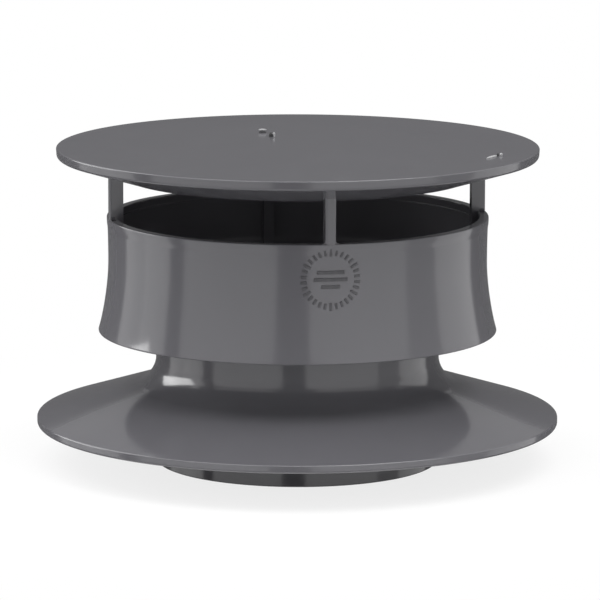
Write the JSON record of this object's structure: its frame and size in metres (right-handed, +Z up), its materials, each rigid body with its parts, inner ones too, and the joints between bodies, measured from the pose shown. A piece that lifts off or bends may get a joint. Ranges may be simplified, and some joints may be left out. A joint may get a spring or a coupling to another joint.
{
  "type": "static vent cowl",
  "caption": "Static vent cowl in dark grey plastic: pipe socket with a conical weathering flange, a flared deflector ring on webs and posts, and a flat round rain cap.",
  "frame": {"origin": "centre of the socket's mouth, on its bottom rim", "axes": "+Z up the pipe through the cap, -Y towards the front post, +X to the right"},
  "size_m": [0.2154, 0.2154, 0.1332],
  "materials": {
    "grey_plastic": "moulded, glossy"
  },
  "bodies": {
    "root": {"base": "grey_plastic", "deflector_ring": "grey_plastic", "rain_cap": "grey_plastic"}
  },
  "joints": []
}
